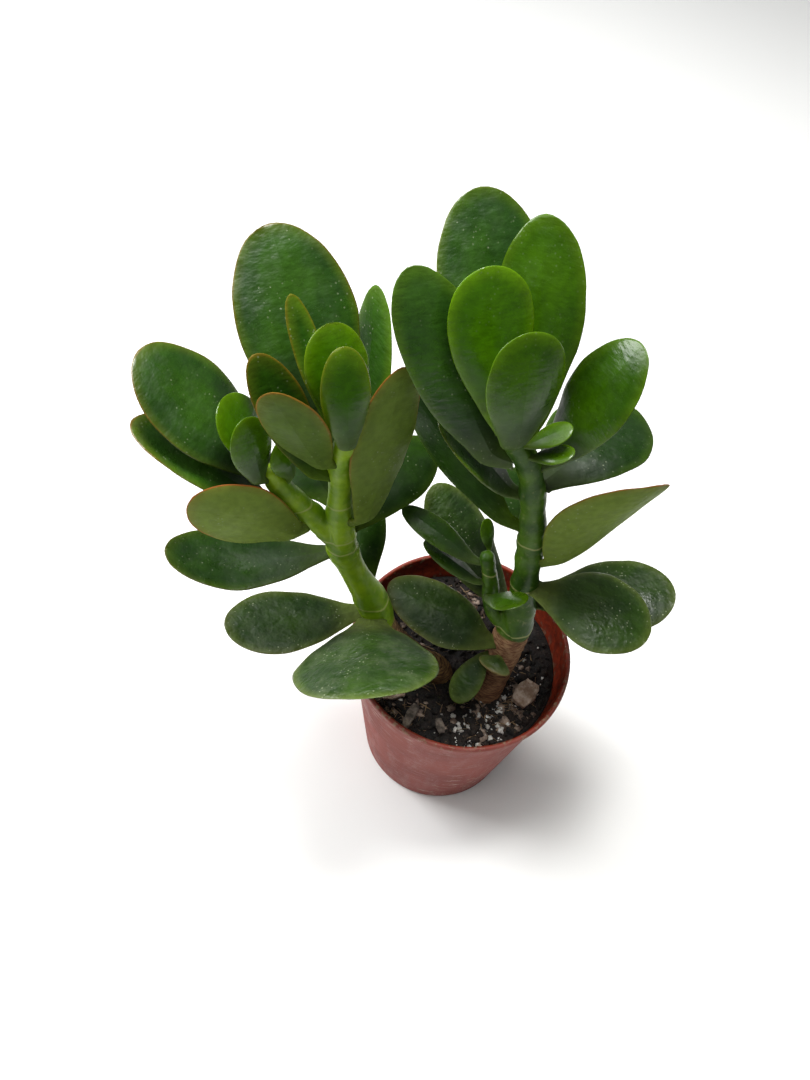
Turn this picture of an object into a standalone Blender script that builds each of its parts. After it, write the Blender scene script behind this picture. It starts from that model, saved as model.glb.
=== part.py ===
"""Jade plant (Crassula ovata) in a nine-centimetre plastic nursery pot.

World axes: the origin is the middle of the pot's underside, +Z is up and the
plant is seen from -Y.  Every piece is its own object: pot, soil, the two
branching stems, each leaf, and the bits of bark and dry leaf on the soil.
"""
import math

import bmesh
import bpy
from mathutils import Matrix, Vector

MM = 0.001

# ---- pot ------------------------------------------------------------------
POT_HEIGHT = 87.0
POT_RIM_RADIUS = 45.0
POT_BASE_RADIUS = 34.0
POT_WALL = 1.2
POT_FLOOR = 1.6
RIM_BAND = 2.6
RIM_OUTSTAND = 0.7
COLLAR_DEPTH = 10.0
COLLAR_STEP = 0.5
POT_SEGMENTS = 48

# ---- soil -----------------------------------------------------------------
SOIL_TOP = 75.0
SOIL_GAP = 0.3
SOIL_MOUND = 1.2
SOCKET_GAP = 0.3
STEM_ROOT = 48.0

# ---- stems: (x, y, z, radius) in millimetres --------------------------------
RIGHT_STEM = [
    (10, -16, STEM_ROOT, 6.0),
    (13, -12, 75, 6.4),
    (16, -4, 98, 6.3),
    (17, 0, 112, 6.4),
    (16, 3, 130, 4.8),
    (11, 3, 166, 4.2),
    (4, 2, 194, 3.6),
    (-4, -1, 209, 3.0),
    (-7, -3, 215, 2.2),
]
SIDE_SHOOT = [
    (15, -1, 108, 3.6),
    (7, 1, 116, 3.0),
    (4, 4, 128, 2.6),
    (0, 6, 142, 2.2),
]
LEFT_STEM = [
    (-4, -9, STEM_ROOT, 5.0),
    (-7, -8, 75, 5.6),
    (-18, -9, 86, 5.6),
    (-31, -8, 101, 5.6),
    (-38, -5, 117, 5.8),
    (-46, -4, 134, 4.8),
    (-51, -4, 150, 5.2),
    (-52, -4, 170, 4.0),
    (-52, -5, 190, 3.6),
    (-51, -8, 203, 2.8),
    (-51, -9, 208, 2.0),
]
LEFT_BRANCH = [
    (-50, -4, 148, 4.2),
    (-58, -5, 160, 4.0),
    (-66, -8, 174, 3.4),
    (-71, -10, 184, 2.8),
    (-73, -11, 190, 2.0),
]
STEM_SIDES = 14
SHOOT_SIDES = 12
STEM_STEP = 7.0

# ---- leaves ---------------------------------------------------------------
LEAF_GAP = 0.35
LEAF_STATIONS = (0.0, 0.08, 0.18, 0.30, 0.43, 0.56, 0.68, 0.80, 0.90, 0.97)
LEAF_SIDES = 10
WIDEST_AT = 0.60
PETIOLE = 0.24
UPPER_SHARE = 0.42
BASE_REACH = 0.20
LEAF_SPRING = 0.75

# ---- colours (linear) -----------------------------------------------------
GREEN_MATURE = (0.020, 0.085, 0.016, 1.0)
GREEN_YOUNG = (0.060, 0.190, 0.014, 1.0)
GREEN_STEM = (0.130, 0.270, 0.030, 1.0)
BARK_BROWN = (0.120, 0.070, 0.035, 1.0)
POT_RED = (0.300, 0.085, 0.055, 1.0)
SOIL_BROWN = (0.020, 0.013, 0.010, 1.0)
CHIP_TAN = (0.300, 0.190, 0.110, 1.0)
DRY_GREY = (0.120, 0.090, 0.070, 1.0)


def clear_scene():
    """Empties the file before the plant is built."""
    for obj in list(bpy.data.objects):
        bpy.data.objects.remove(obj, do_unlink=True)


def material(name, colour, roughness, metallic=0.0):
    """A Principled material, made once for each name."""
    found = bpy.data.materials.get(name)
    if found:
        return found
    made = bpy.data.materials.new(name)
    made.use_nodes = True
    shader = made.node_tree.nodes["Principled BSDF"]
    shader.inputs["Base Color"].default_value = colour
    shader.inputs["Roughness"].default_value = roughness
    shader.inputs["Metallic"].default_value = metallic
    made.diffuse_color = colour
    return made


def object_from(bm, name, mat, at=(0.0, 0.0, 0.0), smooth=True):
    """Turns a bmesh in millimetres round 'at' into a named object in metres."""
    bmesh.ops.recalc_face_normals(bm, faces=bm.faces)
    bmesh.ops.scale(bm, vec=(MM, MM, MM), verts=bm.verts)
    mesh = bpy.data.meshes.new(name)
    bm.to_mesh(mesh)
    bm.free()
    for face in mesh.polygons:
        face.use_smooth = smooth
    mesh.materials.append(mat)
    obj = bpy.data.objects.new(name, mesh)
    obj.location = Vector(at) * MM
    bpy.context.collection.objects.link(obj)
    return obj


def spun(profile, name, mat, segments):
    """Turns a closed outline of (radius, height) once round the Z axis."""
    bm = bmesh.new()
    verts = [bm.verts.new((radius, 0.0, height)) for radius, height in profile]
    edges = [bm.edges.new(pair) for pair in zip(verts, verts[1:])]
    bmesh.ops.spin(
        bm, geom=verts + edges, cent=(0, 0, 0), axis=(0, 0, 1),
        angle=math.tau, steps=segments, use_merge=True,
    )
    bmesh.ops.remove_doubles(bm, verts=bm.verts, dist=0.0005)
    return object_from(bm, name, mat)


def boolean(obj, other, operation):
    """Joins or cuts 'obj' by 'other' with the exact solver, then drops 'other'."""
    other.hide_render = True
    other.display_type = "WIRE"
    modifier = obj.modifiers.new(operation.title(), "BOOLEAN")
    modifier.operation = operation
    modifier.solver = "EXACT"
    modifier.object = other
    bpy.context.view_layer.update()
    graph = bpy.context.evaluated_depsgraph_get()
    result = bpy.data.meshes.new_from_object(obj.evaluated_get(graph))
    obj.modifiers.clear()
    obj.data = result
    bpy.data.objects.remove(other, do_unlink=True)


# ---- curves through a stem's points -----------------------------------------
def smooth_point(points, index, t):
    """Catmull-Rom value between points[index] and the next one."""
    last = len(points) - 1
    p0, p1, p2, p3 = (
        points[min(max(index + step, 0), last)] for step in (-1, 0, 1, 2)
    )
    return tuple(
        0.5 * (2 * b + (c - a) * t + (2 * a - 5 * b + 4 * c - d) * t ** 2
               + (3 * b - a - 3 * c + d) * t ** 3)
        for a, b, c, d in zip(p0, p1, p2, p3)
    )


def stem_rings(points, step):
    """Evenly spread (centre, radius) stations along a stem."""
    rings = []
    for index in range(len(points) - 1):
        span = (Vector(points[index + 1][:3]) - Vector(points[index][:3])).length
        count = max(1, round(span / step))
        for part in range(count):
            x, y, z, radius = smooth_point(points, index, part / count)
            rings.append((Vector((x, y, z)), radius))
    rings.append((Vector(points[-1][:3]), points[-1][3]))
    return rings


def on_stem(points, height):
    """Centre, direction and radius of a stem at a height above the pot's base."""
    for index in range(len(points) - 1):
        low, high = points[index][2], points[index + 1][2]
        if low <= height <= high:
            break
    t = min(1.0, (height - low) / (high - low))
    here = smooth_point(points, index, t)
    before = smooth_point(points, index, t - 0.05)
    growth = Vector(here[:3]) - Vector(before[:3])
    return Vector(here[:3]), growth.normalized(), here[3]


def tube(points, sides, name, mat, extra=0.0):
    """A tapering round stem with a domed top; 'extra' swells it for a socket."""
    rings = stem_rings(points, STEM_STEP)
    bm = bmesh.new()
    loops = []
    for index, (centre, radius) in enumerate(rings):
        ahead = rings[min(index + 1, len(rings) - 1)][0]
        behind = rings[max(index - 1, 0)][0]
        growth = (ahead - behind).normalized()
        turn = growth.to_track_quat("Z", "Y").to_matrix()
        if index == 0:
            centre = centre - growth * extra
        loop = []
        for side in range(sides):
            angle = math.tau * side / sides
            arm = Vector((math.cos(angle), math.sin(angle), 0)) * (radius + extra)
            loop.append(bm.verts.new(centre + turn @ arm))
        loops.append(loop)
    for lower, upper in zip(loops, loops[1:]):
        for side in range(sides):
            after = (side + 1) % sides
            bm.faces.new((lower[side], lower[after], upper[after], upper[side]))
    top, top_radius = rings[-1]
    heading = (top - rings[-2][0]).normalized()
    crown = bm.verts.new(top + heading * (top_radius * 0.6 + extra))
    for side in range(sides):
        after = (side + 1) % sides
        bm.faces.new((loops[-1][side], loops[-1][after], crown))
    bm.faces.new(loops[0])
    return object_from(bm, name, mat)


# ---- leaves ---------------------------------------------------------------
def outline(u, widest):
    """Half width of a jade leaf, as a share of its widest, from base to tip."""
    if u > widest:
        return math.sqrt(max(0.0, 1 - ((u - widest) / (1 - widest)) ** 2))
    rise = math.sin(0.5 * math.pi * u / widest)
    return PETIOLE + (1 - PETIOLE) * rise ** 1.25


def fleshiness(u):
    """Thickness, as a share of the thickest, from base to tip."""
    body = 0.72 + 0.28 * math.sin(math.pi * min(1.0, u * 1.4)) - 0.25 * u
    end = max(0.0, (u - 0.82) / 0.18)
    return body * math.sqrt(max(0.0, 1 - end ** 2)) if end else body


def leaf(name, stem, height, heading, rise, length, width, mat,
         side=None, roll=0.0, curl=0.0, cup=0.0, twist=0.0, thick=3.2, widest=WIDEST_AT):
    """One fleshy leaf on a stem.

    height   where its base sits, above the pot's underside
    heading  compass angle of the leaf, 0 = +X and 90 = +Y
    rise     angle of the leaf above level
    side     where round the stem it grows, the heading unless stated
    roll     turn about its own length, upper face to the right when positive
    curl     bend along its length, tip towards the upper face when positive
    cup      how far the long edges stand above the midrib, as a share of width
    twist    turn of the tip against the base
    widest   where the blade is widest, as a share of its length
    """
    centre, growth, radius = on_stem(stem, height)
    side = math.radians(heading if side is None else side)
    outward = Vector((math.cos(side), math.sin(side), 0))
    outward = (outward - growth * outward.dot(growth)).normalized()
    compass, slope = math.radians(heading), math.radians(rise)
    along = Vector((
        math.cos(slope) * math.cos(compass),
        math.cos(slope) * math.sin(compass),
        math.sin(slope),
    ))
    upward = Vector((
        -math.sin(slope) * math.cos(compass),
        -math.sin(slope) * math.sin(compass),
        math.cos(slope),
    ))
    normal = Matrix.Rotation(math.radians(roll), 3, along) @ upward
    bend = math.radians(curl)

    def frame_at(u):
        """Direction, upper face and cross direction of the blade at a station."""
        angle = bend * (u - 0.5)
        straight = along * math.cos(angle) + normal * math.sin(angle)
        spring = LEAF_SPRING * max(0.0, 1 - u / BASE_REACH) ** 2
        tangent = (straight * (1 - spring) + outward * spring).normalized()
        face = (normal - tangent * normal.dot(tangent)).normalized()
        return tangent, face, face.cross(tangent)

    _, face, across = frame_at(0)
    base_deep = (1 - UPPER_SHARE) * thick * fleshiness(0) * face.dot(outward)
    base_wide = 0.5 * width * PETIOLE * across.dot(outward)
    base = centre + outward * (radius + LEAF_GAP + math.hypot(base_deep, base_wide))

    spots = [base.copy()]
    for last, u in zip(LEAF_STATIONS, LEAF_STATIONS[1:] + (1.0,)):
        tangent, _, _ = frame_at(0.5 * (u + last))
        spots.append(spots[-1] + tangent * (u - last) * length)

    bm = bmesh.new()
    loops = []
    for u, spot in zip(LEAF_STATIONS, spots):
        tangent, face, across = frame_at(u)
        shape = outline(u, widest)
        half = 0.5 * width * shape
        deep = thick * fleshiness(u)
        spin = Matrix.Rotation(math.radians(twist) * (u - 0.3), 3, tangent)
        loop = []
        for step in range(LEAF_SIDES):
            angle = math.tau * step / LEAF_SIDES
            reach, swell = math.cos(angle), math.sin(angle)
            share = UPPER_SHARE if swell > 0 else 1 - UPPER_SHARE
            flat = half * reach
            raised = deep * share * swell + cup * width * (shape * reach) ** 2
            loop.append(bm.verts.new(spot + spin @ (across * flat + face * raised) - base))
        loops.append(loop)
    for lower, upper in zip(loops, loops[1:]):
        for step in range(LEAF_SIDES):
            after = (step + 1) % LEAF_SIDES
            bm.faces.new((lower[step], lower[after], upper[after], upper[step]))
    tip = bm.verts.new(spots[-1] - base)
    for step in range(LEAF_SIDES):
        bm.faces.new((loops[-1][step], loops[-1][(step + 1) % LEAF_SIDES], tip))
    bm.faces.new(loops[0])
    return object_from(bm, name, mat, at=base)


def chip(name, at, size, heading, mat, bow=0.0, lean=0.0):
    """A flake of bark or dry leaf, tapering to its ends and bowed when asked."""
    length, width, thick = size
    bm = bmesh.new()
    loops = []
    for along in (-0.5, -0.36, 0.0, 0.3, 0.5):
        half = 0.5 * width * (1 - 1.1 * abs(along) ** 1.5)
        arch = bow * (0.25 - along ** 2) * 4
        corners = ((-1, -1), (1, -1), (1, 1), (-1, 1))
        loops.append([
            bm.verts.new((along * length, half * y, 0.5 * thick * z + arch))
            for y, z in corners
        ])
    for lower, upper in zip(loops, loops[1:]):
        for step in range(4):
            after = (step + 1) % 4
            bm.faces.new((lower[step], upper[step], upper[after], lower[after]))
    bm.faces.new(loops[0])
    bm.faces.new(list(reversed(loops[-1])))
    obj = object_from(bm, name, mat, at=at, smooth=False)
    obj.rotation_euler = (math.radians(lean), 0, math.radians(heading))
    return obj


# ---- pieces ---------------------------------------------------------------
def pot_inner_radius(height):
    """Inner radius of the pot below its collar."""
    share = (height - POT_FLOOR) / (POT_HEIGHT - POT_FLOOR)
    low = POT_BASE_RADIUS - POT_WALL
    high = POT_RIM_RADIUS - RIM_OUTSTAND - COLLAR_STEP - POT_WALL
    return low + (high - low) * share


def make_pot():
    plastic = material("terracotta_plastic", POT_RED, 0.42)
    side = POT_RIM_RADIUS - RIM_OUTSTAND
    collar_foot = POT_HEIGHT - COLLAR_DEPTH
    body = pot_inner_radius(collar_foot) + POT_WALL
    profile = [
        (0.0, 0.0),
        (POT_BASE_RADIUS - 1.0, 0.0),
        (POT_BASE_RADIUS, 1.0),
        (body, collar_foot - 0.6),
        (body + COLLAR_STEP, collar_foot),
        (side, POT_HEIGHT - RIM_BAND),
        (POT_RIM_RADIUS, POT_HEIGHT - RIM_BAND + 0.4),
        (POT_RIM_RADIUS, POT_HEIGHT - 0.4),
        (POT_RIM_RADIUS - 0.4, POT_HEIGHT),
        (side - POT_WALL + 0.4, POT_HEIGHT),
        (side - POT_WALL, POT_HEIGHT - 0.4),
        (body + COLLAR_STEP - POT_WALL, collar_foot + 0.6),
        (body - POT_WALL, collar_foot),
        (POT_BASE_RADIUS - POT_WALL, POT_FLOOR + 1.0),
        (POT_BASE_RADIUS - POT_WALL - 1.0, POT_FLOOR),
        (0.0, POT_FLOOR),
    ]
    return spun(profile, "pot", plastic, POT_SEGMENTS)


def make_soil():
    earth = material("dark_potting_soil", SOIL_BROWN, 0.95)
    low = pot_inner_radius(POT_FLOOR + 1.0) - SOIL_GAP
    high = pot_inner_radius(SOIL_TOP) - SOIL_GAP
    bottom = POT_FLOOR + SOIL_GAP
    profile = [
        (0.0, bottom),
        (low - 1.0, bottom),
        (low, bottom + 1.0),
        (high, SOIL_TOP - 0.8),
        (high - 1.0, SOIL_TOP),
        (high - 12.0, SOIL_TOP + 0.4 * SOIL_MOUND),
        (16.0, SOIL_TOP + SOIL_MOUND),
        (0.0, SOIL_TOP + 0.6 * SOIL_MOUND),
    ]
    soil = spun(profile, "soil", earth, POT_SEGMENTS)
    for points in (RIGHT_STEM, LEFT_STEM):
        buried = [point for point in points if point[2] < SOIL_TOP + 60]
        cutter = tube(buried, STEM_SIDES, "socket", earth, extra=SOCKET_GAP)
        boolean(soil, cutter, "DIFFERENCE")
    return soil


def make_stems():
    bark = material("bark_and_green_stem", BARK_BROWN, 0.75)
    green = material("green_stem", GREEN_STEM, 0.45)
    right = tube(RIGHT_STEM, STEM_SIDES, "right_stem", bark)
    boolean(right, tube(SIDE_SHOOT, SHOOT_SIDES, "side_shoot", bark), "UNION")
    left = tube(LEFT_STEM, STEM_SIDES, "left_stem", green)
    boolean(left, tube(LEFT_BRANCH, SHOOT_SIDES, "left_branch", green), "UNION")


def make_left_crown(old, young):
    stem = LEFT_STEM
    leaf("left_crown_back", stem, 195, 128, 46, 64, 37, old, side=118, curl=10, cup=0.04, widest=0.56)
    leaf("left_crown_left", stem, 187, 174, 67, 48, 15, old, side=212, roll=-38, cup=0.12)
    leaf("left_crown_back_slim", stem, 203, 133, 54, 41, 9, young, side=135, thick=2)
    leaf("left_crown_inner_back", stem, 205, 131, 66, 31, 20, young, side=90, curl=8, cup=0.05)
    leaf("left_crown_inner_front", stem, 206, 293, 108, 32, 14, young, side=288, curl=8)
    leaf("left_crown_right_upright", stem, 189, 99, 47, 54, 17, young, side=18, roll=-50)
    leaf("left_crown_front_left", stem, 195, 207, 66, 38, 18, young, side=232, roll=64)
    leaf("left_crown_right_big", stem, 165, 64, 79, 63, 24, old, side=337, roll=-108)
    leaf("left_fork_right", stem, 156, 66, 4, 46, 25, old, side=40)
    leaf("left_fork_back", stem, 166, 128, -5, 34, 24, old, curl=8)


def make_left_branch_crown(old, young):
    stem = LEFT_BRANCH
    leaf("branch_back_left", stem, 181, 168, 41, 54, 32, old, side=135, curl=10, cup=0.04)
    leaf("branch_left_folded", stem, 175, 178, 35, 51, 20, old, side=205, cup=0.14)
    leaf("branch_inner_back", stem, 188, 170, 62, 25, 20, young, side=130, cup=0.05)
    leaf("branch_inner_front", stem, 189, 320, 102, 24, 14, young, side=248)
    leaf("branch_right", stem, 183, 335, 105, 15, 12, young, side=20)
    leaf("branch_front", stem, 165, 201, 39, 41, 27, old, side=240, roll=90, curl=10)


def make_left_lower(old, young):
    stem = LEFT_STEM
    leaf("left_low_side", stem, 146, 195, 6, 56, 25, old, curl=56, cup=0.06)
    leaf("left_bottom_back", stem, 120, 110, 12, 44, 24, old)
    leaf("left_bottom_side", stem, 114, 197, 0, 50, 27, old, curl=26, cup=0.04)
    leaf("left_bottom_front", stem, 113, 273, 33, 51, 50, old, side=267, roll=12, curl=-14, cup=-0.08)


def make_middle(old, young):
    stem = RIGHT_STEM
    leaf("middle_front", stem, 101, 163, 13, 46, 24, old, side=207, roll=-12, widest=0.45)
    leaf("middle_back_upright", stem, 110, 140, 33, 57, 26, old, side=115, curl=6)
    leaf("soil_droop", stem, 94, 243, -26, 23, 12, old, side=208, curl=-30, thick=2.6)
    leaf("scar_stub", stem, 97, 247, 10, 8, 13, old, side=250)
    stem = SIDE_SHOOT
    leaf("shoot_upper_left", stem, 138, 158, 17, 34, 12, old, side=180, cup=0.08)
    leaf("shoot_lower_left", stem, 130, 157, 16, 26, 12, old, side=200, roll=20)
    leaf("shoot_inner", stem, 141, 125, 60, 13, 6, young, side=80, thick=2.0)
    leaf("shoot_right_disc", stem, 125, 322, 46, 22, 12, young, side=255, thick=2.6)


def make_right_crown(old, young):
    stem = RIGHT_STEM
    leaf("right_crown_back", stem, 203, 120, 47, 70, 36, old, side=95, curl=10, cup=0.04)
    leaf("right_crown_right", stem, 206, 104, 55, 59, 25, young, side=46, roll=-28, curl=10, cup=0.04)
    leaf("right_crown_left", stem, 200.5, 157, 55, 65, 24, old, side=196, roll=-35, curl=8, cup=0.05)
    leaf("right_crown_inner_back", stem, 211, 129, 66, 45, 25, young, side=130, roll=-15, curl=8, widest=0.68)
    leaf("right_crown_inner_front", stem, 212, 297, 102, 37, 23, young, side=280, curl=10, widest=0.68)
    leaf("right_crown_upper_right", stem, 196, 33, 66, 45, 24, young, side=10, cup=0.05)
    leaf("right_crown_dark_right", stem, 184, 54, 1, 48, 34, old, side=38)
    leaf("right_shoot_crescent_upper", stem, 207, 20, 30, 14, 8, young, side=340, thick=2.2)
    leaf("right_shoot_crescent_lower", stem, 202, 355, 30, 13, 8, young, side=325, thick=2.2)


def make_right_middle(old, young):
    stem = RIGHT_STEM
    leaf("right_mid_left", stem, 168, 148, 34, 57, 23, old, side=190, roll=95)
    leaf("right_mid_left_upper", stem, 182, 172, 42, 38, 20, old, side=180, cup=0.12)
    leaf("right_mid_right", stem, 149, 4, 66, 54, 38, old, side=345, roll=-62, cup=0.16, widest=0.52)
    leaf("right_mid_back", stem, 158, 105, -10, 34, 22, old)
    leaf("right_low_front", stem, 134.5, 347, 1, 42, 34, old, side=330, curl=-8, widest=0.56)
    leaf("right_low_back", stem, 122, 9, 11, 52, 32, old, side=25, curl=6)


def make_litter():
    bark = material("tan_bark_chip", CHIP_TAN, 0.9)
    dry = material("dry_leaf", DRY_GREY, 0.8)
    top = SOIL_TOP + 1.7
    chip("bark_chip_left", (-24, -22, top), (9, 4, 1.4), 20, bark)
    chip("bark_chip_right", (29, -12, top + 0.2), (12, 9, 1.8), 60, bark)
    chip("dry_leaf_curl", (-16, -30, top), (11, 4, 0.8), 70, dry, bow=2.0)
    chip("dry_leaf_flake", (-4, -32, top), (6, 3.5, 0.6), 110, dry)


def main():
    clear_scene()
    make_pot()
    make_soil()
    make_stems()
    old = material("mature_leaf", GREEN_MATURE, 0.28)
    young = material("young_leaf", GREEN_YOUNG, 0.32)
    make_left_crown(old, young)
    make_left_branch_crown(old, young)
    make_left_lower(old, young)
    make_middle(old, young)
    make_right_crown(old, young)
    make_right_middle(old, young)
    make_litter()


main()
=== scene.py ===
"""Jade plant in a nine-centimetre nursery pot: the finish of every surface.

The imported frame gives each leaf, stem and pot wall its place.  Each leaf solid is read as
rings of points from stalk to tip and rebuilt as a smooth fleshy blade with a blunt rim;
stems get swollen leaf joints and fibrous bark; the soil gets crumbs, perlite and fibres.
"""
import math
import random

import bmesh
import bpy
from mathutils import Matrix, Vector, kdtree, noise


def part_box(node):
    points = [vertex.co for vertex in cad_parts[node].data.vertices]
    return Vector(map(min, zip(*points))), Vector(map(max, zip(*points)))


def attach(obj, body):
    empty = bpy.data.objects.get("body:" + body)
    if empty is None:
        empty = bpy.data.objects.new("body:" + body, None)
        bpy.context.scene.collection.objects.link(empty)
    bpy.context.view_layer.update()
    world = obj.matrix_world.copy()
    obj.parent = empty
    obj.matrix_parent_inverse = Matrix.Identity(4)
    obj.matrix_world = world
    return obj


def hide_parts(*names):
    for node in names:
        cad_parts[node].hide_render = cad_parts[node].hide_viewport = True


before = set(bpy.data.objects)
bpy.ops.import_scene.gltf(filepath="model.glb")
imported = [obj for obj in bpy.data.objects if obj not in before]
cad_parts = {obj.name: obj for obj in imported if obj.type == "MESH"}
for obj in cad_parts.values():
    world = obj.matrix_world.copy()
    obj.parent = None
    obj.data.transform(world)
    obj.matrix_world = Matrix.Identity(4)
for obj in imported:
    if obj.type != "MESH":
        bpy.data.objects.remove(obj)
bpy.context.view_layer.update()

MM = 0.001

# ---- camera and light -------------------------------------------------------
CAMERA_PLACE = Vector((-29.59, -162.30, 375.56)) * MM
CAMERA_PITCH = 54.09
CAMERA_ROLL = 9.48
LENS = 27.03
SENSOR = 36.0
LIGHT_AIM = Vector((-0.01, 0.0, 0.13))

# ---- leaf shape -------------------------------------------------------------
RING_POINTS = 10
LEAF_AROUND = 28
LEAF_ALONG = 34
SECTION_FULLNESS = 2.4
SECTION_BLUNTNESS = 0.55
# A ten-point ring's flat top is this share of the round section's height.
RING_HEIGHT_SHARE = 0.951
# Stalks run this far past the solid's end, into the stem.
STALK_REACH = 1.3 * MM
# Broad waves of the face, short ones of the rim, and an uneven outline (share of half width).
WAVE_LENGTH = 17 * MM
WAVE_HEIGHT = 0.55 * MM
FLUTTER_LENGTH = 8 * MM
FLUTTER_HEIGHT = 0.45 * MM
NICK_LENGTH = 15 * MM
EDGE_NICKS = 0.09
# The waves die out towards the stalk, and are weaker in leaves narrower than this.
STALK_FADE = 9 * MM
WAVY_WIDTH = 26 * MM
# The upper face gives way to the lower one over this share of the section's height.
FACE_BLEND = 0.35
# Depth from the rim at the stalk's end, as a share of the leaf's width.
STALK_DEPTH_SHARE = 0.12
BASE_DEPTH_SHARE = 0.1

# Leaves whose upper face is the rounder one.
DOMED = ("left_bottom_front",)

# ---- stems, in millimetres: (x, y, z, radius), the routes of the solid stems --------
RIGHT_STEM = (
    (10, -16, 48, 6.0), (13, -12, 75, 6.4), (16, -4, 98, 6.3), (17, 0, 112, 6.4),
    (16, 3, 130, 4.8), (11, 3, 166, 4.2), (4, 2, 194, 3.6), (-4, -1, 209, 3.0),
    (-7, -3, 215, 2.2),
)
SIDE_SHOOT = ((15, -1, 108, 3.6), (7, 1, 116, 3.0), (4, 4, 128, 2.6), (0, 6, 142, 2.2))
LEFT_STEM = (
    (-4, -9, 48, 5.0), (-7, -8, 75, 5.6), (-18, -9, 86, 5.6), (-31, -8, 101, 5.6),
    (-38, -5, 117, 5.8), (-46, -4, 134, 4.8), (-51, -4, 150, 5.2), (-52, -4, 170, 4.0),
    (-52, -5, 190, 3.6), (-51, -8, 203, 2.8), (-51, -9, 208, 2.0),
)
LEFT_BRANCH = (
    (-50, -4, 148, 4.2), (-58, -5, 160, 4.0), (-66, -8, 174, 3.4), (-71, -10, 184, 2.8),
    (-73, -11, 190, 2.0),
)
STEM_SIDES = 32
STEM_STEP = 1.0
STEM_VOXEL = 0.55 * MM
STEM_SOFTENING = 6
# A leaf belongs to a stem when its foot is this near to the stem's skin.
FOOT_REACH = 6.0
JOINT_SWELL = 0.55
JOINT_SPREAD = 4.5
SCAR_RIDGE = 0.18
SCAR_SPREAD = 0.55
BARK_TOP = 108.0
BARK_BLEND = 5.0
BARK_RIDGE = 0.25
STEM_UNEVENNESS = 0.12
RIGHT_SCARS = (111.0, 134.0, 160.0)
LEFT_SCARS = (118.5, 149.0, 155.0, 172.0)

# ---- pot and soil, in millimetres; heaps are (x, y, spread) ---------------------
POT_SIDES = 144
POT_WALL = 1.2
RIM_BAND = 2.6
COLLAR_DEPTH = 10.0
WALL_WAVE = 0.25
POT_TAPER = 11.0
SOIL_SIDES = 260
SOIL_STEP = 0.9
SOIL_TAPER = 9.0
CRUMB_HEIGHT = 1.1
FIBRE_COUNT = 240
FIBRE_JOINTS = 7
HEAP_SHARE = 0.7
PERLITE_HEAPS = ((12, -28, 7), (20, -24, 6), (6, -34, 4), (28, -10, 6))
FLAKE_HEAPS = ((-22, -24, 6), (24, -10, 5), (0, 25, 8), (16, -22, 6))
SEED = 7


# ---- small mesh helpers -----------------------------------------------------
def blend(low, high, value):
    """0 below low, 1 above high, smooth between them."""
    share = min(1.0, max(0.0, (value - low) / (high - low)))
    return share * share * (3 - 2 * share)


def made_object(name, mesh_data, material, node=None):
    """A shown, smooth-shaded piece that rides on the plant's one body."""
    obj = bpy.data.objects.new(name, mesh_data)
    bpy.context.collection.objects.link(obj)
    mesh_data.materials.append(material)
    mesh_data.shade_smooth()
    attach(obj, "root")
    if node:
        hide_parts(node)
    return obj


def from_bmesh(bm):
    """A mesh from a bmesh, with its faces turned outward."""
    bmesh.ops.recalc_face_normals(bm, faces=bm.faces)
    data = bpy.data.meshes.new("mesh")
    bm.to_mesh(data)
    bm.free()
    return data


def store(data, name, values):
    """A value for each point of a mesh, for the materials to read."""
    layer = data.attributes.new(name, "FLOAT", "POINT")
    layer.data.foreach_set("value", values)


def join_rings(bm, rings):
    """Quads between each ring of points and the next."""
    for lower, upper in zip(rings, rings[1:]):
        count = len(lower)
        for step in range(count):
            after = (step + 1) % count
            bm.faces.new((lower[step], lower[after], upper[after], upper[step]))


def cap(bm, ring, centre):
    """A fan that closes a ring; returns its middle point."""
    middle = bm.verts.new(centre)
    for step in range(len(ring)):
        bm.faces.new((ring[step], ring[(step + 1) % len(ring)], middle))
    return middle


# ---- reading a leaf solid ---------------------------------------------------
def layers_from(start):
    """Rings of neighbours round a point, nearest first."""
    seen, front, layers = {start}, [start], []
    while front:
        fresh = []
        for vert in front:
            for edge in vert.link_edges:
                other = edge.other_vert(vert)
                if other not in seen:
                    seen.add(other)
                    fresh.append(other)
        if fresh:
            layers.append(fresh)
        front = fresh
    return layers


def in_order(layer, inner, tip):
    """A layer's points in order round the leaf, the same way round in every layer."""
    members, inner = set(layer), set(inner)
    beside = {vert: [] for vert in layer}
    for vert in layer:
        for edge in vert.link_edges:
            other = edge.other_vert(vert)
            faces = [face for face in edge.link_faces if inner & set(face.verts)]
            if other in members and faces:
                beside[vert].append(other)
    walk = [layer[0], beside[layer[0]][0]]
    while len(walk) < len(layer):
        ahead = [vert for vert in beside[walk[-1]] if vert is not walk[-2]]
        walk.append(ahead[0])
    points = [vert.co.copy() for vert in walk]
    middle = sum(points, Vector()) / len(points)
    turn = Vector()
    for here, after in zip(points, points[1:] + points[:1]):
        turn += (here - middle).cross(after - middle)
    if turn.dot(tip - middle) < 0:
        points.reverse()
    return points


def leaf_rings(node):
    """The leaf solid's rings, stalk first, and its tip point."""
    bm = bmesh.new()
    bm.from_mesh(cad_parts[node].data)
    bmesh.ops.remove_doubles(bm, verts=bm.verts, dist=0.001 * MM)
    for vert in bm.verts:
        if len(vert.link_faces) != RING_POINTS:
            continue
        layers = layers_from(vert)
        if all(len(layer) == RING_POINTS for layer in layers):
            break
    tip = vert.co.copy()
    inner = [[vert]] + layers[:-1]
    rings = [in_order(layer, last, tip) for layer, last in zip(layers, inner)]
    bm.free()
    rings.reverse()
    return rings, tip


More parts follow.
